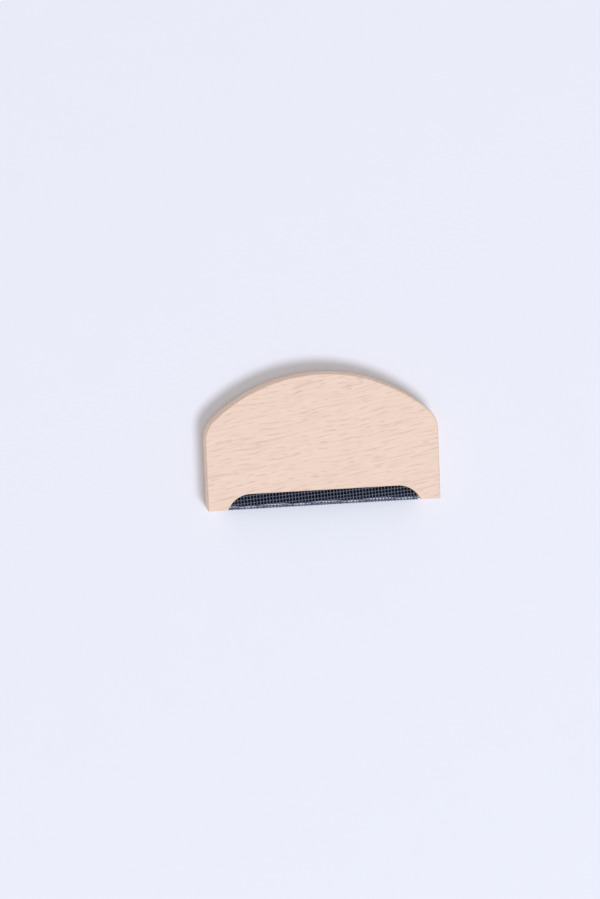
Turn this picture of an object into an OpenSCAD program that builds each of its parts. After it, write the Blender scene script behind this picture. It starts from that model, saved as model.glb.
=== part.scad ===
// Sweater comb for lifting pills from knitwear: a domed hardwood block that holds
// a folded strip of woven wire cloth along its straight edge.
// The comb lies on its back. X runs along the wire edge, Y from the wire edge up to
// the top of the dome and Z through the thickness. The origin is under the middle.

/* [Wooden body] */
// Width across the two straight sides
body_w = 85; // [82:1:100]
// Height from the straight wooden edge to the top of the dome
body_h = 48; // [44:1:60]
// Thickness of the board
body_t = 10; // [9.8:0.2:13]
// Radius of the dome
dome_r = 58.5; // [54:0.1:70]
// Radius of the two shoulders, where the dome turns into the sides
shoulder_r = 10; // [6:0.5:14]
// Rounding of the edges that the hand touches
edge_r = 0.6; // [0.3:0.1:1]

/* [Windows over the wire] */
// Height of each window in the two faces
window_h = 5.6; // [4:0.1:6.5]
// Radius of the window's two curved ends
window_r = 9.1; // [7:0.1:10]
// Small bevel round the edge of each window
window_bevel = 0.25; // [0.1:0.05:0.4]

/* [Slot and core] */
// Width of the slot that is cut up into the straight edge
slot_w = 70.4; // [60:0.2:72]
// Depth of the slot
slot_depth = 10; // [9.8:0.1:14]
// Radius that the cutter leaves in the two deep corners of the slot
slot_corner_r = 0.9; // [0.3:0.1:2]
// Play between the wire cloth and each wall of the slot
slot_play = 0.05; // [0.02:0.01:0.1]
// Distance from the nose of the cloth to the lower face of the core strip
core_setback = 1.9; // [1.7:0.1:3]
// Rounding of the two lower edges of the core strip
core_nose_r = 1.7; // [1:0.1:2.2]

/* [Woven wire cloth] */
// Outer radius of the folded nose, which is half of the folded thickness
nose_r = 3.8; // [3.6:0.1:4]
// Distance that the nose stands out past the wooden edge
nose_out = 0.6; // [0:0.05:1]
// Diameter of the straight wires, which run along the edge
long_wire_d = 0.4; // [0.3:0.02:0.44]
// Thickness of the crimped wires, which are folded round the nose
cross_wire_t = 0.3; // [0.24:0.02:0.32]
// Width of the crimped wires
cross_wire_w = 0.42; // [0.3:0.02:0.5]
// Spacing of the straight wires, measured along the fold
long_pitch = 1.3; // [1.24:0.01:1.3]
// Spacing of the crimped wires
cross_pitch = 1.17; // [1:0.01:1.6]
// Number of straight wires, always odd so that one of them is the tip of the nose
long_count = 17; // [13:2:17]

/* [Hidden] */
$fn = 96;

beech_color = [0.93, 0.83, 0.77];
core_color = [0.05, 0.05, 0.06];
wire_color = [0.29, 0.31, 0.38];

// The nose of the wire cloth, the wooden edge and the middle of the thickness
nose_y = -(body_h + nose_out) / 2;
foot_y = nose_y + nose_out;
mid_z = body_t / 2;
over = 1;

// The dome is a circle round this height above the wooden edge. A shoulder's circle
// touches the side and the inside of the dome.
dome_y = body_h - dome_r;
shoulder_x = body_w / 2 - shoulder_r;
shoulder_y = dome_y + sqrt(pow(dome_r - shoulder_r, 2) - pow(shoulder_x, 2));

// The windows' end circles lie so that the curve runs out in the slot's lower corners
window_y = window_h - window_r;
window_x = slot_w / 2 - sqrt(pow(window_r, 2) - pow(window_y, 2));

// Sheet of wire cloth: a crimped wire swings to one side of each straight wire and
// then to the other, with a hair of play, so that the wires pass without touching.
wire_play = 0.01;
swing = (long_wire_d + cross_wire_t) / 2 + wire_play;
sheet_t = 2 * swing + cross_wire_t;
fold_r = nose_r - sheet_t / 2;
half_fold = fold_r * PI / 2;
last_wire = (long_count - 1) / 2;
// Half of the flat stretch that a crimped wire has over each straight wire
crimp_flat = 0.17;
crimp_slope = atan(2 * swing / (long_pitch - 2 * crimp_flat));
// A bend's outer side is longer and its inner side shorter by this much at each end
crimp_shift = cross_wire_t / 2 * tan(crimp_slope / 2);
// Length of each crimped wire past the last straight wire
tail = 0.5;
// Gap between the ends of the straight wires and the ends of the slot
edge_play = 0.25;
long_wire_len = slot_w - 2 * edge_play;
cross_count = floor((long_wire_len - cross_wire_w) / cross_pitch) + 1;
cross_start = -(cross_count - 1) / 2 * cross_pitch;

core_play = 0.02;
core_t = 2 * (nose_r - sheet_t - core_play);
core_w = long_wire_len;
// The strip ends where the slot's deep corners begin to round
core_top = nose_out + slot_depth - slot_corner_r;

// Place on the fold, as [Y from the nose, Z from the middle], for a length s
// along the middle of the sheet from the tip and a distance outwards from it
function fold_point(s, out) =
    abs(s) < half_fold
    ? let (a = s / fold_r * 180 / PI)
      [nose_r - (fold_r + out) * cos(a), (fold_r + out) * sin(a)]
    : [nose_r + abs(s) - half_fold, sign(s) * (fold_r + out)];

// One side of a crimped wire: two points over each straight wire. The phase is 1
// where the wire passes outside an even straight wire and -1 where it passes inside.
function crimp_side(phase, side) =
    let (
        ends = last_wire * long_pitch + tail,
        way = function (k) phase * (k % 2 == 0 ? 1 : -1),
        out = function (k) way(k) * swing + side * cross_wire_t / 2,
        half = function (k) crimp_flat + way(k) * side * crimp_shift
    )
    concat(
        [fold_point(-ends, out(-last_wire))],
        [for (k = [-last_wire:last_wire]) for (end = [-1, 1])
            if (abs(k) < last_wire || end * k < 0)
                fold_point(k * long_pitch + end * half(k), out(k))],
        [fold_point(ends, out(last_wire))]
    );

function reversed(list) = [for (i = [len(list) - 1:-1:0]) list[i]];

// A strip from x = near to x = far, whose two far corners are eased
module eased_strip(near, far, wide) {
    translate([near, 0])
        square([far - edge_r - near, wide]);
    translate([near, edge_r])
        square([far - near, wide - 2 * edge_r]);
    for (y = [edge_r, wide - edge_r])
        translate([far - edge_r, y])
            circle(edge_r);
}

// Cross-section of the board's rim, from an inner radius out to r
module rim_profile(inner, r) {
    eased_strip(inner, r, body_t);
}

// Lower part of the board, between the straight sides: the same eased edge runs
// down the sides, along the straight edge and down the two corners between them
module side_block() {
    intersection() {
        translate([0, shoulder_y, 0])
            rotate([90, 0, 0])
                linear_extrude(shoulder_y)
                    for (side = [0, 1])
                        mirror([side, 0])
                            rim_profile(0, body_w / 2);
        translate([-body_w / 2, 0, 0])
            rotate([90, 0, 90])
                linear_extrude(body_w)
                    translate([shoulder_y, 0])
                        mirror([1, 0])
                            rim_profile(0, shoulder_y);
        translate([-body_w / 2, shoulder_y, 0])
            rotate([0, 0, -90])
                linear_extrude(body_t)
                    eased_strip(0, shoulder_y, body_w);
    }
}

// A round disc with eased rims, cut down to the part of it over an outline
module rim_sector(centre, r, outline) {
    intersection() {
        translate([centre[0], centre[1], 0])
            rotate_extrude()
                rim_profile(0, r);
        translate([0, 0, -over])
            linear_extrude(body_t + 2 * over)
                polygon(outline);
    }
}

// The sectors of the dome and the shoulders meet on the lines through both centres,
// and all three stand on the lower part of the board
module domed_block() {
    right = [shoulder_x, shoulder_y];
    left = [-shoulder_x, shoulder_y];
    far_right = 2 * right - [0, dome_y];
    far_left = 2 * left - [0, dome_y];
    side_block();
    rim_sector([0, dome_y], dome_r, [left, right, far_right, far_left]);
    for (side = [0, 1])
        mirror([side, 0, 0])
            rim_sector(right, shoulder_r, [right, [far_right[0], shoulder_y], far_right]);
}

module slot() {
    translate([0, 0, mid_z - nose_r - slot_play])
        linear_extrude(2 * (nose_r + slot_play)) {
            translate([-slot_w / 2, -over])
                square([slot_w, slot_depth + over - slot_corner_r]);
            translate([-slot_w / 2 + slot_corner_r, -over])
                square([slot_w - 2 * slot_corner_r, slot_depth + over]);
            for (side = [-1, 1])
                translate([side * (slot_w / 2 - slot_corner_r), slot_depth - slot_corner_r])
                    circle(slot_corner_r);
        }
}

// A window's outline, cut through both lips of the slot
module windows() {
    translate([0, 0, -over])
        linear_extrude(body_t + 2 * over) {
            for (side = [-1, 1])
                translate([side * window_x, window_y])
                    circle(window_r);
            translate([-window_x, window_y])
                square([2 * window_x, window_r]);
        }
}

// The bevel round the window in the upper face
module window_bevels() {
    for (side = [-1, 1])
        translate([side * window_x, window_y, body_t - window_bevel])
            cylinder(h = 2 * window_bevel, r1 = window_r, r2 = window_r + 2 * window_bevel);
    translate([window_x, window_h, body_t])
        rotate([0, -90, 0])
            linear_extrude(2 * window_x)
                polygon([[-window_bevel, -over], [-window_bevel, 0],
                    [window_bevel, 2 * window_bevel], [window_bevel, -over]]);
}

module beech_body() {
    color(beech_color)
        translate([0, foot_y, 0])
            difference() {
                domed_block();
                slot();
                windows();
                window_bevels();
                translate([0, 0, body_t])
                    mirror([0, 0, 1])
                        window_bevels();
            }
}

// Dark strip that fills the fold and pins the cloth against the walls of the slot
module core_strip() {
    color(core_color)
        translate([-core_w / 2, nose_y, mid_z])
            rotate([90, 0, 90])
                linear_extrude(core_w) {
                    translate([core_setback + core_nose_r, -core_t / 2])
                        square([core_top - core_setback - core_nose_r, core_t]);
                    translate([core_setback, core_nose_r - core_t / 2])
                        square([core_nose_r * 2, core_t - 2 * core_nose_r]);
                    for (side = [-1, 1])
                        translate([core_setback + core_nose_r, side * (core_t / 2 - core_nose_r)])
                            circle(core_nose_r);
                }
}

module long_wires() {
    color(wire_color)
        for (k = [-last_wire:last_wire]) {
            place = fold_point(k * long_pitch, 0);
            translate([-long_wire_len / 2, nose_y + place[0], mid_z + place[1]])
                rotate([0, 90, 0])
                    cylinder(h = long_wire_len, d = long_wire_d);
        }
}

module cross_wire(phase) {
    rotate([90, 0, 90])
        linear_extrude(cross_wire_w, center = true)
            polygon(concat(crimp_side(phase, 1), reversed(crimp_side(phase, -1))));
}

// Every second crimped wire, from the first or from the second
module cross_wires(first, phase) {
    color(wire_color)
        for (i = [first:2:cross_count - 1])
            translate([cross_start + i * cross_pitch, nose_y, mid_z])
                cross_wire(phase);
}

module odd_cross_wires() {
    cross_wires(0, 1);
}

module even_cross_wires() {
    cross_wires(1, -1);
}

beech_body();
core_strip();
long_wires();
odd_cross_wires();
even_cross_wires();
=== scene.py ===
# %% [markdown]
# # A sweater comb, dressed for its picture
# The comb takes the small balls of fluff off knitwear. It is a domed block of beech
# with a slot sawn up into its straight edge. A strip of black woven wire cloth is
# folded into a U round a dark core and pushed into that slot, and a window in each
# face of the block lets the folded wire reach the wool.
#
# The wooden block comes from the CAD frame with its true shape, so this script only
# gives it a finish. The core is drawn anew, a little longer towards the fold. The wire
# cloth is made anew as well: in the frame its wires are plain bars, and here each one is
# round, bent over and under its neighbours.
#
# Blender works in metres, and the comb is small, so sizes are written in millimetres
# and multiplied by MM.

# %% Load the frame
import math
import bpy
import numpy as np
from mathutils import Matrix, Vector


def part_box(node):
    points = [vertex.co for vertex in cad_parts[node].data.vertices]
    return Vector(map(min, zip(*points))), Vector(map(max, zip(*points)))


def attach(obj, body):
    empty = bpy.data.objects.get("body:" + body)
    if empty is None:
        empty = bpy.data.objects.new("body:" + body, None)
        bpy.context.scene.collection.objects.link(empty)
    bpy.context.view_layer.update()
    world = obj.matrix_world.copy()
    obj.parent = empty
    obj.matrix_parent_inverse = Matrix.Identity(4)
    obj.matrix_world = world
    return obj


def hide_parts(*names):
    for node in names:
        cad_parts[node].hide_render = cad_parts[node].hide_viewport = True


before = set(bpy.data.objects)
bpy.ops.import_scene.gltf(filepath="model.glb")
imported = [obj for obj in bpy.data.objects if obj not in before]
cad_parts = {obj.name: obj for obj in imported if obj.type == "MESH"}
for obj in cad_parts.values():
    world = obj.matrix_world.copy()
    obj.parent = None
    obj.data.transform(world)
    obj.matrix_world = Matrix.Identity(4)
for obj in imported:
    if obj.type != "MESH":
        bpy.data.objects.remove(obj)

MM = 0.001
for name in ("Cube", "Light", "Camera"):
    if name in bpy.data.objects:
        bpy.data.objects.remove(bpy.data.objects[name])
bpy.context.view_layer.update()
print("frame nodes:", sorted(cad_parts))

# %% [markdown]
# ## Camera
# The picture is a flat-lay: the comb lies on its back on a sheet of paper and the
# camera looks almost straight down. A long lens keeps the two straight sides of the
# block parallel. The camera stands a little to the left and towards the dome, which
# is why a thin band of the left wall and of the dome's wall shows beside the face.
#
# An aim point and a roll are easier to read and to change than three Euler angles. The
# camera's backward axis points from the aim to the camera, and the two other axes are
# square to it and turned by the roll. It sees up to 20 m away, past the paper's edge.

# %% Camera
CAMERA_PLACE = Vector((-152.03, 164.57, 1205.57)) * MM
CAMERA_AIM = Vector((-7.67, -3.605, 5.0)) * MM
CAMERA_ROLL = math.radians(-2.258)
LENS = 135
SENSOR_WIDTH = 36
FARTHEST_SEEN = 20.0

camera = bpy.data.objects.new("camera", bpy.data.cameras.new("camera"))
bpy.context.scene.collection.objects.link(camera)
backward = (CAMERA_PLACE - CAMERA_AIM).normalized()
level = Vector((0, 1, 0)).cross(backward).normalized()
upright = backward.cross(level)
right = level * math.cos(CAMERA_ROLL) + upright * math.sin(CAMERA_ROLL)
turn = Matrix((right, backward.cross(right), backward)).transposed().to_4x4()
camera.matrix_world = Matrix.Translation(CAMERA_PLACE) @ turn
camera.data.lens = LENS
camera.data.sensor_width = SENSOR_WIDTH
camera.data.clip_end = FARTHEST_SEEN
bpy.context.scene.camera = camera
print("camera height above the paper in mm:", round(CAMERA_PLACE.z / MM, 1))

# %% [markdown]
# ## Light
# The shadow falls up and to the left and has a soft rim, so the light is one round
# softbox to the lower right. Its size over its distance sets the softness: it is seen
# from the comb as a disc 20 degrees wide. It stands far off, so that the left and the
# right of the paper are equally bright. The rest of the light comes from everywhere, as
# in a white room, and that is the world's colour.
#
# A matt surface square to the light sends back power / (pi * distance)^2 of its
# colour. Working the power out from a share keeps the total near 1, so that a colour
# comes out as it is written.

# %% Softbox and room light
LIGHT_FROM = Vector((0.235, -0.435, 1.0)).normalized()
LIGHT_DISTANCE = 6.0
LIGHT_WIDTH = math.radians(20)
SOFTBOX_COLOUR = (0.95, 1.0, 1.09)
KEY_SHARE = 0.515
ROOM_SHARE = 0.51

softbox = bpy.data.objects.new("softbox", bpy.data.lights.new("softbox", "AREA"))
bpy.context.scene.collection.objects.link(softbox)
softbox.location = LIGHT_FROM * LIGHT_DISTANCE
softbox.rotation_mode = "QUATERNION"
softbox.rotation_quaternion = LIGHT_FROM.to_track_quat("Z", "Y")
softbox.data.shape = "DISK"
softbox.data.size = 2 * math.tan(LIGHT_WIDTH / 2) * LIGHT_DISTANCE
softbox.data.energy = KEY_SHARE * (math.pi * LIGHT_DISTANCE) ** 2 / LIGHT_FROM.z
softbox.data.color = SOFTBOX_COLOUR
softbox.visible_camera = False
print("softbox power in watts:", round(softbox.data.energy, 1))

# %% [markdown]
# ## A short way to write nodes
# A material is a small graph. Writing each node and each link on its own hides the
# idea behind the typing, so `put` adds one node with its settings and fills its
# inputs with `feed`: a socket is linked, and a number or a colour is set. The other
# helpers are the few nodes that come back in every finish.
#
# A Mix node has a set of sockets for each kind of value under the same names, so
# `blend` picks those for colours by their number.

# %% Node helpers
COLOUR_MIX_INPUTS = (0, 6, 7)
COLOUR_MIX_OUTPUT = 2


def feed(tree, socket, value):
    """Links a socket to the given input, or sets a plain value on it."""
    if isinstance(value, bpy.types.NodeSocket):
        tree.links.new(value, socket)
    elif value is not None:
        socket.default_value = value


def put(tree, kind, inputs=(), **settings):
    new = tree.nodes.new("ShaderNode" + kind)
    for name, value in settings.items():
        setattr(new, name, value)
    pairs = inputs.items() if isinstance(inputs, dict) else enumerate(inputs)
    for name, value in pairs:
        feed(tree, new.inputs[name], value)
    return new


def sums(tree, operation, first, second=None, third=None):
    return put(tree, "Math", [first, second, third], operation=operation).outputs[0]


def ramp(tree, value, start, end):
    """From 0 to 1 as the input goes from start to end, eased at both ends."""
    eased_edge_shade = put(tree, "MapRange", [value, start, end], interpolation_type="SMOOTHSTEP")
    return eased_edge_shade.outputs[0]


def stretched(tree, place, sizes):
    """The place divided by a size for each axis, so that a pattern is drawn that long."""
    return put(tree, "Mapping", {"Vector": place, "Scale": [1 / s for s in sizes]}).outputs[0]


def noise(tree, place, detail, roughness=0.5, scale=1.0):
    return put(tree, "TexNoise", {"Vector": place, "Scale": scale, "Detail": detail,
                                  "Roughness": roughness}).outputs["Fac"]


def blend(tree, amount, first, second, how="MIX"):
    """First colour where the amount is 0, and where it is 1 the second, or both multiplied."""
    mix = put(tree, "Mix", data_type="RGBA", blend_type=how)
    sockets = (mix.inputs[i] for i in COLOUR_MIX_INPUTS)
    for socket, value in zip(sockets, (amount, first, second)):
        feed(tree, socket, value)
    return mix.outputs[COLOUR_MIX_OUTPUT]


def millimetres(tree):
    """Where a point is on the object, in millimetres."""
    place = put(tree, "TexCoord").outputs["Object"]
    return put(tree, "VectorMath", {0: place, "Scale": 1 / MM}, operation="SCALE").outputs[0]


def colour(red, green, blue):
    return (red, green, blue, 1.0)


def new_finish(name, gloss):
    """A new material, its node tree and its shader, with the strength of its plain gloss."""
    finish = bpy.data.materials.new(name)
    finish.use_nodes = True
    shader = finish.node_tree.nodes["Principled BSDF"]
    shader.inputs["Specular IOR Level"].default_value = gloss
    return finish, finish.node_tree, shader


def add_bump(tree, shader, height, strength, depth):
    bump = put(tree, "Bump", {"Height": height, "Strength": strength, "Distance": depth})
    feed(tree, shader.inputs["Normal"], bump.outputs[0])


print("node helpers ready")

# %% [markdown]
# ## Effects that several finishes share
# Two effects come back on more than one surface, so each is a node group with named
# sockets, built once and placed with its own values.
#
# Fine mottle is the small unevenness that keeps a surface from looking like one flat
# colour: a broad cloud and a fine speckle, mixed. It gives a mask round one half and a
# height for a bump.
#
# Rubbed edges finds where two faces meet, by comparing the true normal with the one
# that a rounded edge would have. Hands and sandpaper reach the edges first.

# %% Shared node groups
EDGE_STARTS = 0.01
EDGE_FULL = 0.2


def new_group(name, inputs, outputs):
    group = bpy.data.node_groups.new(name, "ShaderNodeTree")
    for label, kind, value in inputs:
        socket = group.interface.new_socket(label, in_out="INPUT", socket_type="NodeSocket" + kind)
        if value is not None:
            socket.default_value = value
    for label in outputs:
        group.interface.new_socket(label, in_out="OUTPUT", socket_type="NodeSocketFloat")
    source = group.nodes.new("NodeGroupInput")
    target = group.nodes.new("NodeGroupOutput")
    return group, source.outputs, target.inputs


def build_fine_mottle():
    group, given, result = new_group(
        "Fine mottle",
        [("Place", "Vector", None), ("Cloud scale", "Float", 0.2), ("Speckle scale", "Float", 4.0),
         ("Speckle share", "Float", 0.5)],
        ["Mask", "Height"])
    cloud = noise(group, given["Place"], 3, 0.55, given["Cloud scale"])
    speckle = noise(group, given["Place"], 2, 0.6, given["Speckle scale"])
    mixed = put(group, "Mix", [given["Speckle share"], None, cloud, speckle]).outputs[0]
    group.links.new(mixed, result["Mask"])
    group.links.new(sums(group, "SUBTRACT", speckle, 0.5), result["Height"])
    return group


def build_rubbed_edges():
    group, given, result = new_group(
        "Rubbed edges",
        [("Width", "Float", 0.5 * MM), ("Breakup", "Float", 0.5)],
        ["Mask"])
    rounded = put(group, "Bevel", {"Radius": given["Width"]}, samples=6).outputs[0]
    true = put(group, "NewGeometry").outputs["Normal"]
    alike = put(group, "VectorMath", [rounded, true], operation="DOT_PRODUCT").outputs["Value"]
    edge = ramp(group, sums(group, "SUBTRACT", 1.0, alike), EDGE_STARTS, EDGE_FULL)
    group.links.new(sums(group, "MULTIPLY", edge, given["Breakup"]), result["Mask"])
    return group


fine_mottle = build_fine_mottle()
rubbed_edges = build_rubbed_edges()


def place_group(tree, group, **values):
    node = put(tree, "Group", node_tree=group)
    for label, value in values.items():
        feed(tree, node.inputs[label.replace("_", " ")], value)
    return node.outputs


print("groups:", [group.name for group in bpy.data.node_groups])

# %% [markdown]
# ## Beech
# Beech is pale, with a faint pink in it, and it is known by its rays: thin plates that
# run out from the middle of the trunk. Where the saw cuts across them they show as
# short dark dashes, a few millimetres long and less than half a millimetre high, and
# on the sides of the block they show as slanted lines through the thickness.
#
# A picture stretched over the block would break at the edges. This finish is solid
# instead: it is a pattern in space, and the block is cut out of it. So the pattern
# first turns the place on the block into the directions of the trunk: along the
# grain, round the trunk and out from its middle. Real grain is never quite straight, so
# a broad and a fine noise then push the place sideways, by about a millimetre at most.

# %% Directions of the trunk
GRAIN_RISE = math.radians(9.5)
RAY_TILT = math.radians(30)
BROAD_FLOW, BROAD_PUSH = (60, 14, 30), 4.0
FINE_FLOW, FINE_PUSH = (9, 2.5, 8), 0.6


def trunk_directions(tree):
    """Place in millimetres along the grain, round the trunk and out from its middle."""
    along = put(tree, "Mapping", {"Vector": millimetres(tree), "Rotation": (0, 0, -GRAIN_RISE)})
    tilted = put(tree, "Mapping", {"Vector": along.outputs[0], "Rotation": (RAY_TILT, 0, 0)})
    return tilted.outputs[0]


def wandering(tree, place, sizes, amount):
    """The place pushed sideways by a slow noise, so that straight grain starts to flow."""
    push = sums(tree, "SUBTRACT", noise(tree, stretched(tree, place, sizes), 1), 0.5)
    shift = put(tree, "CombineXYZ", [0.0, sums(tree, "MULTIPLY", push, amount),
                                     sums(tree, "MULTIPLY", push, amount)]).outputs[0]
    return put(tree, "VectorMath", [place, shift], operation="ADD").outputs[0]


def flowing_grain(tree):
    """The trunk's directions, first pushed about broadly and then finely."""
    broad = wandering(tree, trunk_directions(tree), BROAD_FLOW, BROAD_PUSH)
    return wandering(tree, broad, FINE_FLOW, FINE_PUSH)


print("grain rises", round(math.degrees(GRAIN_RISE), 1), "degrees to the right")

# %% [markdown]
# The rays' dashes come from a Voronoi texture. Its cells are stretched along the grain,
# and the distance from a cell's own point is small only near it, which draws one dash
# in each cell. The cell's random colour then makes some dashes dark and most of them
# faint.
#
# Between the dashes lie three finer things. One noise, drawn long and thin along the
# grain, gives the dark hairs where it is high and the light gleams where it is low. A
# sine across the grain, pushed about by a slow noise, gives soft grain lines. And a
# ridge in another noise, dark only where it passes one half, gives the thin lines of
# the yearly rings.
#
# All of them are functions of the place, in millimetres: the three sizes of each say how
# long it is along the grain, round the trunk and out from its middle.

# %% Marks in the beech
RAY_SIZE = (4.6, 0.62, 7)
RAY_REACH = 0.4
RAY_CORE = 0.12
FAINT_SHARE = 0.6
LINE_SPACING = 1.5
LINE_WOBBLE = 14.0
WOBBLE_SIZE = (16, 9, 9)
LINE_PATCH = (5, 1.1, 5)
RING_SIZE = (70, 12, 1.5)
RING_WIDTH = 0.03
RING_PATCH = (16, 3, 4)


def ray_dashes(tree, place):
    """One dark dash in each cell, of which a share is too faint to see."""
    cells = put(tree, "TexVoronoi", {"Vector": stretched(tree, place, RAY_SIZE), "Scale": 1.0})
    dash = ramp(tree, cells.outputs["Distance"], RAY_REACH, RAY_CORE)
    luck = put(tree, "SeparateColor", [cells.outputs["Color"]]).outputs[0]
    return sums(tree, "MULTIPLY", dash, ramp(tree, luck, FAINT_SHARE, 1.0))


def patches(tree, place, sizes, start, end):
    """1 in soft patches of the given size and 0 between them, to break up long lines."""
    return ramp(tree, noise(tree, stretched(tree, place, sizes), 1), start, end)


def grain_lines(tree, place):
    """Soft lines along the grain, a steady spacing apart but for a slow wobble."""
    across = put(tree, "SeparateXYZ", [place]).outputs["Y"]
    wobble = noise(tree, stretched(tree, place, WOBBLE_SIZE), 2)
    phase = sums(tree, "MULTIPLY_ADD", across, 2 * math.pi / LINE_SPACING,
                 sums(tree, "MULTIPLY", wobble, LINE_WOBBLE))
    line = ramp(tree, sums(tree, "SINE", phase), 0.2, 1.0)
    return sums(tree, "MULTIPLY", line, patches(tree, place, LINE_PATCH, 0.42, 0.66))


def year_rings(tree, place):
    """Thin lines where a slow noise passes one half."""
    slow = noise(tree, stretched(tree, place, RING_SIZE), 1)
    ridge = sums(tree, "ABSOLUTE", sums(tree, "SUBTRACT", slow, 0.5))
    line = ramp(tree, ridge, RING_WIDTH, 0.0)
    return sums(tree, "MULTIPLY", line, patches(tree, place, RING_PATCH, 0.45, 0.65))


print("rays are up to", RAY_SIZE[0], "mm long and grain lines", LINE_SPACING, "mm apart")

# %% [markdown]
# The colour is laid on in layers, as a stain would be: each layer has a mask, a share
# that says how strong it is at most, and its own brown. A later one covers an earlier.
#
# The sides are sawn, mostly across the fibres. Their colour is made a little lighter than
# the two faces, which is painted light standing in for the room light on the walls. The
# eased edges between them get a browner line of painted shade, where the rounded edge
# turns away from the softbox. How far a surface is turned from level tells the three apart.

# %% Beech finish
PALE_BEECH = colour(0.840, 0.642, 0.540)
DEEP_BEECH = colour(0.833, 0.630, 0.524)
GLEAM_BEECH = colour(0.885, 0.70, 0.60)
HAIR_BROWN = colour(0.76, 0.545, 0.43)
LINE_BROWN = colour(0.70, 0.47, 0.36)
RING_BROWN = colour(0.66, 0.44, 0.33)
RAY_BROWN = colour(0.58, 0.36, 0.26)
# Brown for the worn, rubbed edges, and for the painted shade on the eased edges.
EDGE_WEAR_AND_SHADE_BROWN = colour(0.68, 0.44, 0.28)
# Painted light: the side walls are made lighter to stand in for room light falling on them.
SIDE_PAINTED_LIGHT = colour(1.12, 1.13, 1.10)
TONE_SIZE = (40, 9, 12)
FIBRE_SIZE = (7, 0.4, 5)


def lay_on(tree, shade, layers):
    """The shade under a list of layers, each a mask, its strength and its colour."""
    for mask, share, stain in layers:
        shade = blend(tree, sums(tree, "MULTIPLY", mask, share), shade, stain)
    return shade


def build_beech():
    finish, tree, shader = new_finish("beech_finish", 0.35)
    place = flowing_grain(tree)
    tone = noise(tree, stretched(tree, place, TONE_SIZE), 2)
    fibres = noise(tree, stretched(tree, place, FIBRE_SIZE), 2, 0.6)
    hairs = ramp(tree, fibres, 0.48, 0.72)
    gleams = ramp(tree, fibres, 0.47, 0.28)
    rays = ray_dashes(tree, place)
    mottle = place_group(tree, fine_mottle, Place=millimetres(tree), Cloud_scale=0.12,
                         Speckle_scale=5.0, Speckle_share=0.6)
    edges = place_group(tree, rubbed_edges, Width=0.5 * MM, Breakup=mottle["Mask"])
    normal = put(tree, "NewGeometry").outputs["Normal"]
    level = sums(tree, "ABSOLUTE", put(tree, "SeparateXYZ", [normal]).outputs["Z"])
    # Painted shade: a browner line on the eased edges, where the rounded edge turns from the light;
    # it falls on upper and lower edges alike.
    eased_edge_shade = sums(tree, "MULTIPLY", ramp(tree, level, 0.15, 0.4), ramp(tree, level, 0.99, 0.93))
    # The side walls, which face sideways, carry the painted light.
    painted_light_sides = ramp(tree, level, 0.9, 0.3)

    shade = lay_on(tree, blend(tree, tone, PALE_BEECH, DEEP_BEECH), [
        (gleams, 0.6, GLEAM_BEECH),
        (hairs, 0.56, HAIR_BROWN),
        (grain_lines(tree, place), 0.56, LINE_BROWN),
        (year_rings(tree, place), 0.4, RING_BROWN),
        (rays, 0.6, RAY_BROWN),
        # The rubbed edges are real wear; the eased-edge line after them is painted shade.
        (edges["Mask"], 0.95, EDGE_WEAR_AND_SHADE_BROWN),
        (eased_edge_shade, 0.3, EDGE_WEAR_AND_SHADE_BROWN)])
    # The side walls take the painted light tint on top of everything else.
    feed(tree, shader.inputs["Base Color"], blend(tree, painted_light_sides, shade, SIDE_PAINTED_LIGHT, "MULTIPLY"))

    smooth = sums(tree, "MULTIPLY_ADD", mottle["Mask"], 0.16, 0.48)
    smooth = sums(tree, "SUBTRACT", smooth, sums(tree, "MULTIPLY", rays, 0.08))
    feed(tree, shader.inputs["Roughness"], smooth)

    dips = sums(tree, "ADD", sums(tree, "MULTIPLY", hairs, 0.4), rays)
    add_bump(tree, shader, sums(tree, "SUBTRACT", mottle["Height"], dips), 0.1, 0.04 * MM)
    return finish


block_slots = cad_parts["beech_body"].data.materials
block_slots.clear()
block_slots.append(build_beech())
print("beech_body wears", block_slots[0].name)

# %% [markdown]
# ## Core strip
# Behind the wires lies a dark strip that fills the fold and pins the cloth against the
# walls of the slot. It is matt, so that the holes of the cloth look black, with the
# fine grain of moulded plastic and edges that are a little rubbed.

# %% Core finish
CORE_DARKEST = colour(0.002, 0.002, 0.003)
CORE_DARK = colour(0.008, 0.008, 0.010)
CORE_RUBBED = colour(0.015, 0.015, 0.018)


def build_core():
    finish, tree, shader = new_finish("core_finish", 0.1)
    mottle = place_group(tree, fine_mottle, Place=millimetres(tree), Cloud_scale=0.3,
                         Speckle_scale=6.0, Speckle_share=0.5)
    edges = place_group(tree, rubbed_edges, Width=0.3 * MM, Breakup=mottle["Mask"])
    shade = blend(tree, mottle["Mask"], CORE_DARKEST, CORE_DARK)
    feed(tree, shader.inputs["Base Color"], blend(tree, edges["Mask"], shade, CORE_RUBBED))
    smooth = sums(tree, "MULTIPLY_ADD", mottle["Mask"], 0.2, 0.6)
    feed(tree, shader.inputs["Roughness"], smooth)
    add_bump(tree, shader, mottle["Height"], 0.4, 0.05 * MM)
    return finish


core_finish = build_core()
print("made", core_finish.name)

# %% [markdown]
# The core's own shape is simple: a long bar with a rounded nose, as thick as the fold
# leaves room for. The frame's strip ends a little too far back, so that white paper
# would show through the cloth where the real one is black. This one is drawn as its
# cross-section, a list of corners round the bar, and then pulled along the edge.

# %% Core piece
CORE_REACH = 0.44 * MM
CORE_NOSE = 1.9 * MM
NOSE_STEPS = 8


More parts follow.
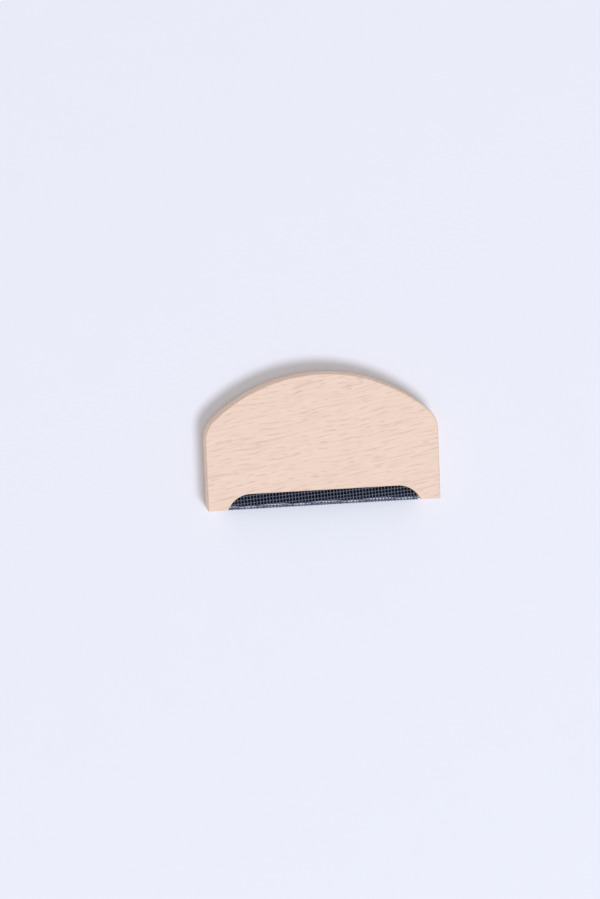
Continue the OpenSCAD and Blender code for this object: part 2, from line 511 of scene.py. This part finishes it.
def core_outline(low, high):
    """Corners of the cross-section, from the lower flat side round the nose to the upper."""
    half_thickness = (high.z - low.z) / 2
    middle = (high.z + low.z) / 2
    nose_line = low.y - CORE_REACH + CORE_NOSE
    quarter = np.linspace(0, math.pi / 2, NOSE_STEPS + 1)
    corners = [(high.y, middle - half_thickness)]
    for side in (-1, 1):
        for angle in quarter[::-side]:
            rise = half_thickness - CORE_NOSE + CORE_NOSE * math.sin(angle)
            corners.append((nose_line - CORE_NOSE * math.cos(angle), middle + side * rise))
    corners.append((high.y, middle + half_thickness))
    return corners


def make_core():
    low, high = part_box("core_strip")
    outline = core_outline(low, high)
    count = len(outline)
    corners = [(x, y, z) for x in (low.x, high.x) for y, z in outline]
    faces = [tuple(range(count)), tuple(reversed(range(count, 2 * count)))]
    for k in range(count):
        after = (k + 1) % count
        faces.append((k, k + count, after + count, after))
    mesh = bpy.data.meshes.new("core_bar")
    mesh.from_pydata(corners, [], faces)
    mesh.materials.append(core_finish)
    bar = bpy.data.objects.new("core_bar", mesh)
    bpy.context.scene.collection.objects.link(bar)
    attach(bar, "root")
    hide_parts("core_strip")
    print("core bar reaches", round(CORE_REACH / MM, 2), "mm closer to the tip of the fold")


make_core()

# %% [markdown]
# ## Woven wire cloth
# The cloth is a plain weave of round wires: each wire goes over one crossing wire and
# under the next. It could be a flat mesh with holes, but at this size the eye reads
# the bends and the small gaps at the crossings, and light has to pass through the
# nose, where nothing stands behind the cloth. So every wire is a real bent tube.
#
# It is easiest to weave flat. A place on the cloth is counted in wires: `column` says
# how many wires across, `row` how many wires along, and whole numbers are the wires
# themselves. `cloth_place` turns that into millimetres on the flat cloth, with the
# slight skew that the strip was cut and folded with, the small twist that its wires
# took when they were bent round the nose, and the unevenness that each wire keeps along
# its whole length. `on_the_fold` then rolls the flat cloth round the nose, and tells
# where it is in space and which way is outwards.
#
# The wires along the edge stay nearly straight and the others do most of the bending,
# as in a strip that was woven under a pull. The crests of those stand a hair further
# out than the frame's plain bars.
#
# COLUMN_LEAN and ROW_RISE are slopes: how far a wire across the edge leans, and how far
# a wire along it climbs, for each millimetre of its way.

# %% Sizes of the cloth
EDGE_WIRE = 0.30 * MM
CROSSING_WIRE = 0.34 * MM
COLUMN_PITCH = 1.17 * MM
ROW_PITCH = 1.30 * MM
COLUMN_LEAN = 0.055
ROW_RISE = 0.068
ROW_SHIFT = -0.22 * MM
TWIST = 0.15 * MM
TWIST_REACH = 2.0 * MM
CREST_OUT = 0.16 * MM
COLUMN_COUNT = 60
EDGE_SWING = 0.12 * MM
PLAY = 0.006 * MM
CROSSING_SWING = (EDGE_WIRE + CROSSING_WIRE) / 2 + PLAY - EDGE_SWING
WIRE_SIDES = 8
STEPS_PER_CROSSING = 6

cloth_low, cloth_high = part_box("odd_cross_wires")
nose_radius = (cloth_high.z - cloth_low.z) / 2
fold_radius = nose_radius - CROSSING_SWING - CROSSING_WIRE / 2
half_fold = fold_radius * math.pi / 2
cut_edge = half_fold + cloth_high.y - cloth_low.y - nose_radius
strip_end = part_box("long_wires")[1].x
middle_z = (cloth_high.z + cloth_low.z) / 2
row_reach = math.ceil((cut_edge + ROW_RISE * strip_end) / ROW_PITCH)
print("cloth: fold radius", round(fold_radius / MM, 2), "mm, cut", round(2 * strip_end / MM, 1),
      "x", round(2 * cut_edge / MM, 1), "mm")

# %% Place on the cloth
SEED = 11
UNEVENNESS = 0.02 * MM
column_steps = range(COLUMN_COUNT + 1)
row_steps = range(2 * row_reach + 3)
draws = np.random.default_rng(SEED)
column_errors = draws.normal(0, UNEVENNESS, len(column_steps))
row_errors = draws.normal(0, UNEVENNESS, len(row_steps))


def cloth_place(column, row):
    """Millimetres along the wire edge and round the fold, for counts of wires."""
    across = (column - (COLUMN_COUNT - 1) / 2) * COLUMN_PITCH
    across = across + np.interp(column, column_steps, column_errors)
    around = row * ROW_PITCH + ROW_SHIFT
    around = around + np.interp(row + row_reach, row_steps, row_errors)
    along_edge = (across - COLUMN_LEAN * around) / (1 + COLUMN_LEAN * ROW_RISE)
    around = around + ROW_RISE * along_edge
    return along_edge - TWIST * np.tanh(around / TWIST_REACH), around


def on_the_fold(along_edge, around, out):
    """Points in space for places on the flat cloth, and the outward direction there."""
    angle = np.clip(around / fold_radius, -math.pi / 2, math.pi / 2)
    straight = np.maximum(np.abs(around) - half_fold, 0)
    outward = np.stack([np.zeros_like(angle), -np.cos(angle), np.sin(angle)], axis=-1)
    points = outward * (fold_radius + out)[..., None]
    points[..., 0] += along_edge
    points[..., 1] += cloth_low.y - CREST_OUT + nose_radius + straight
    points[..., 2] += middle_z
    return points, outward


print("rows counted from", -row_reach, "to", row_reach)

# %% [markdown]
# A wire is a line of points with a ring of corners round each. The ring has to stay
# square to the wire and must not twist, so it is built from the wire's direction and
# one steady side: the outward direction for the wires along the edge, and the line of
# the edge itself for the wires that cross it.
#
# Each corner also remembers how far out of the cloth it stands. That number is kept in
# the mesh as an attribute named crown, and the coating is rubbed where it is high.

# %% Tubes and meshes
def tube(points, steady, crown, radius):
    """Corners, faces and crown values of one round wire with closed ends."""
    ahead = np.gradient(points, axis=0)
    ahead /= np.linalg.norm(ahead, axis=1, keepdims=True)
    side = steady - ahead * np.sum(steady * ahead, axis=1, keepdims=True)
    side /= np.linalg.norm(side, axis=1, keepdims=True)
    up = np.cross(ahead, side)
    turns = np.linspace(0, 2 * math.pi, WIRE_SIDES, endpoint=False)
    ring = np.cos(turns)[None, :, None] * side[:, None] + np.sin(turns)[None, :, None] * up[:, None]
    corners = (points[:, None] + radius * ring).reshape(-1, 3)
    faces = []
    for step in range(len(points) - 1):
        for k in range(WIRE_SIDES):
            here, after = step * WIRE_SIDES + k, step * WIRE_SIDES + (k + 1) % WIRE_SIDES
            faces.append((here, after, after + WIRE_SIDES, here + WIRE_SIDES))
    last = (len(points) - 1) * WIRE_SIDES
    faces.append(tuple(reversed(range(WIRE_SIDES))))
    faces.append(tuple(range(last, last + WIRE_SIDES)))
    return corners, faces, np.repeat(crown, WIRE_SIDES)


def make_piece(name, tubes, finish, replaced):
    """One mesh of all the given tubes, riding on the comb in place of a CAD node."""
    corners, faces, crowns = [], [], []
    for tube_corners, tube_faces, tube_crown in tubes:
        start = sum(len(part) for part in corners)
        corners.append(tube_corners)
        faces.extend(tuple(start + corner for corner in face) for face in tube_faces)
        crowns.append(tube_crown)
    mesh = bpy.data.meshes.new(name)
    mesh.from_pydata(np.concatenate(corners).tolist(), [], faces)
    mesh.attributes.new("crown", "FLOAT", "POINT").data.foreach_set("value", np.concatenate(crowns))
    mesh.shade_smooth()
    mesh.materials.append(finish)
    piece = bpy.data.objects.new(name, mesh)
    bpy.context.scene.collection.objects.link(piece)
    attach(piece, "root")
    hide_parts(replaced)
    print(name, "has", len(tubes), "wires and", len(mesh.polygons), "faces")


print("each wire is a tube with", WIRE_SIDES, "sides")

# %% [markdown]
# ## Wire coating
# The wires are coated in a dark blue-grey, half matt. On the crowns of the bends, where
# the wool rubs, the coating is a little lighter and smoother. The attribute made with
# each wire tells the finish where that is.

# %% Coated wire finish
COATING_DARK = colour(0.056, 0.071, 0.126)
COATING_LIGHT = colour(0.099, 0.119, 0.200)
COATING_RUBBED = colour(0.17, 0.19, 0.255)


def build_coated_wire():
    finish, tree, shader = new_finish("coated_wire_finish", 0.5)
    crown = put(tree, "Attribute", attribute_name="crown").outputs["Fac"]
    mottle = place_group(tree, fine_mottle, Place=millimetres(tree), Cloud_scale=0.5,
                         Speckle_scale=9.0, Speckle_share=0.5)
    shade = blend(tree, mottle["Mask"], COATING_DARK, COATING_LIGHT)
    rubbed = sums(tree, "MULTIPLY", ramp(tree, crown, 0.3, 1.0), mottle["Mask"])
    feed(tree, shader.inputs["Base Color"], blend(tree, rubbed, shade, COATING_RUBBED))
    smooth = sums(tree, "MULTIPLY_ADD", mottle["Mask"], 0.2, 0.36)
    smooth = sums(tree, "SUBTRACT", smooth, sums(tree, "MULTIPLY", rubbed, 0.12))
    feed(tree, shader.inputs["Roughness"], smooth)
    add_bump(tree, shader, mottle["Height"], 0.3, 0.02 * MM)
    return finish


coated_wire = build_coated_wire()
print("made", coated_wire.name)

# %% [markdown]
# ## The wires that cross the edge
# Sixty wires start in the slot behind one face, come out under the window, go round
# the nose and run back into the slot behind the other face. Neighbours swing the
# opposite way, so the odd and the even ones are two pieces, as they are in the frame.

# %% Wires across the edge
def crossing_wire(column):
    rows = np.linspace(-row_reach, row_reach, 2 * row_reach * STEPS_PER_CROSSING + 1)
    along_edge, around = cloth_place(np.full_like(rows, column), rows)
    kept = np.abs(around) < cut_edge
    wave = np.cos(math.pi * (column + rows[kept]))
    points, outward = on_the_fold(along_edge[kept], around[kept], CROSSING_SWING * wave)
    steady = np.tile([1.0, 0.0, 0.0], (len(points), 1))
    return tube(points, steady, wave, CROSSING_WIRE / 2)


for name, first in (("odd", 0), ("even", 1)):
    make_piece(f"wires_across_{name}", [crossing_wire(c) for c in range(first, COLUMN_COUNT, 2)],
               coated_wire, f"{name}_cross_wires")

# %% [markdown]
# ## The wires along the edge
# These run nearly the whole width of the slot. The strip was folded a little askew, so
# they climb slowly round the nose from left to right. The outermost ones leave the
# cloth at its cut edge, deep in the slot, and so are shorter than the rest.

# %% Wires along the edge
LEAST_CROSSINGS = 2


def edge_wire(row):
    columns = np.linspace(-1, COLUMN_COUNT, (COLUMN_COUNT + 1) * STEPS_PER_CROSSING + 1)
    along_edge, around = cloth_place(columns, np.full_like(columns, row))
    kept = (np.abs(along_edge) < strip_end) & (np.abs(around) < cut_edge)
    if np.count_nonzero(kept) < LEAST_CROSSINGS * STEPS_PER_CROSSING:
        return None
    wave = -np.cos(math.pi * (columns[kept] + row))
    points, outward = on_the_fold(along_edge[kept], around[kept], EDGE_SWING * wave)
    return tube(points, outward, wave, EDGE_WIRE / 2)


edge_wires = [edge_wire(row) for row in range(-row_reach, row_reach + 1)]
make_piece("wires_along_the_edge", [wire for wire in edge_wires if wire], coated_wire, "long_wires")

# %% [markdown]
# ## Paper
# The comb lies on plain pale paper with a breath of blue. The sheet is large enough to
# fill every view, and its colour makes the background: the light stays plain. A faint
# mottle and a very low bump keep it from looking like a void. Seen by the camera, the
# paper also shines by itself a little, which softens the shade close to the comb.

# %% Paper floor
PAPER_SIZE = 6.0
PAPER_TINT = (0.836, 0.848, 0.932)
PAPER_SHINE = 0.10
PAPER_LIGHTEST = 1.01
PAPER_DARKEST = 0.985
PAPER_ROUGHNESS = 0.9


def seen_directly(tree):
    """1 for what the camera sees, also in a shiny surface or through glass, and else 0."""
    rays = put(tree, "LightPath").outputs
    seen = sums(tree, "MAXIMUM", rays["Is Camera Ray"], rays["Is Glossy Ray"])
    return sums(tree, "MAXIMUM", seen, rays["Is Transmission Ray"])


def build_paper():
    finish, tree, shader = new_finish("paper_finish", 0.1)
    feed(tree, shader.inputs["Roughness"], PAPER_ROUGHNESS)
    mottle = place_group(tree, fine_mottle, Place=millimetres(tree), Cloud_scale=0.05,
                         Speckle_scale=1.2, Speckle_share=0.5)
    body = 1 - PAPER_SHINE
    light = colour(*(value * body * PAPER_LIGHTEST for value in PAPER_TINT))
    dark = colour(*(value * body * PAPER_DARKEST for value in PAPER_TINT))
    feed(tree, shader.inputs["Base Color"], blend(tree, mottle["Mask"], dark, light))
    add_bump(tree, shader, mottle["Height"], 0.15, 0.1 * MM)
    feed(tree, shader.inputs["Emission Color"], colour(*PAPER_TINT))
    shine = sums(tree, "MULTIPLY", seen_directly(tree), PAPER_SHINE)
    feed(tree, shader.inputs["Emission Strength"], shine)
    return finish


paper_mesh = bpy.data.meshes.new("paper")
half = PAPER_SIZE / 2
paper_mesh.from_pydata([(-half, -half, 0), (half, -half, 0), (half, half, 0), (-half, half, 0)],
                       [], [(0, 1, 2, 3)])
paper_mesh.materials.append(build_paper())
paper = bpy.data.objects.new("paper", paper_mesh)
bpy.context.scene.collection.objects.link(paper)
print("paper:", PAPER_SIZE, "m square")

# %% [markdown]
# ## Room
# The room light is white with a breath of warmth, which balances the cool softbox, so
# that only the shadows turn a little warm. What the camera sees past the paper, and what
# shiny surfaces mirror, is the colour of the paper at full strength, so that the horizon
# doesn't show in low views.

# %% World
ROOM_COLOUR = (1.02, 1.0, 0.955)

world = bpy.data.worlds.new("room")
world.use_nodes = True
bpy.context.scene.world = world
room = world.node_tree
background = room.nodes["Background"]
direct = seen_directly(room)
seen_colour = blend(room, direct, colour(*ROOM_COLOUR), colour(*PAPER_TINT))
feed(room, background.inputs["Color"], seen_colour)
strength = put(room, "MapRange", [direct, 0.0, 1.0, ROOM_SHARE, 1.0]).outputs[0]
feed(room, background.inputs["Strength"], strength)
bpy.context.scene.view_settings.view_transform = "Standard"
print("room light share:", ROOM_SHARE)
